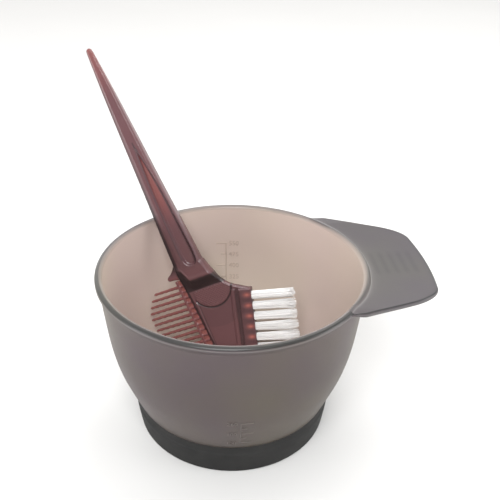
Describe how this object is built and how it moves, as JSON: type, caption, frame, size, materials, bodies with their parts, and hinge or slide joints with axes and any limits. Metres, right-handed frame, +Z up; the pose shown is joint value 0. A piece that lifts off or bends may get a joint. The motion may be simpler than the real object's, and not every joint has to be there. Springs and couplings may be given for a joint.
{
  "type": "hair colour bowl with tint brush",
  "caption": "Smoke-grey translucent mixing bowl with a flat grip tab, a black rubber base ring and a measuring scale, holding a loose tint brush with a comb edge and a pointed tail handle.",
  "frame": {"origin": "centre of the rubber base ring's bottom face, on the bowl's own axis", "axes": "+Z up along the bowl's axis; +X from the bowl's axis along the middle of the grip tab; the measuring scales are on the +Y and -Y sides; the brush leans over the rim on the -X +Y side"},
  "size_m": [0.1721, 0.154, 0.1772],
  "materials": {
    "smoke_plastic": "frosted translucent smoke-grey polypropylene, satin",
    "base_rubber": "matte black rubber",
    "brown_plastic": "translucent reddish-brown plastic, satin gloss",
    "bristle_nylon": "white nylon filaments",
    "anchor_steel": "bright steel strip"
  },
  "bodies": {
    "bowl": {"bowl": "smoke_plastic", "base_ring": "base_rubber"},
    "brush": {"brush_body": "brown_plastic", "tuft_anchors": "anchor_steel", "bristle_tuft_1": "bristle_nylon", "bristle_tuft_2": "bristle_nylon", "bristle_tuft_3": "bristle_nylon", "bristle_tuft_4": "bristle_nylon", "bristle_tuft_5": "bristle_nylon", "bristle_tuft_6": "bristle_nylon", "bristle_tuft_7": "bristle_nylon"}
  },
  "joints": [
    {"name": "brush_lift", "type": "slide", "parent": "bowl", "child": "brush", "axis": [0, 0, 1], "range_m": [0, 0.13]}
  ]
}
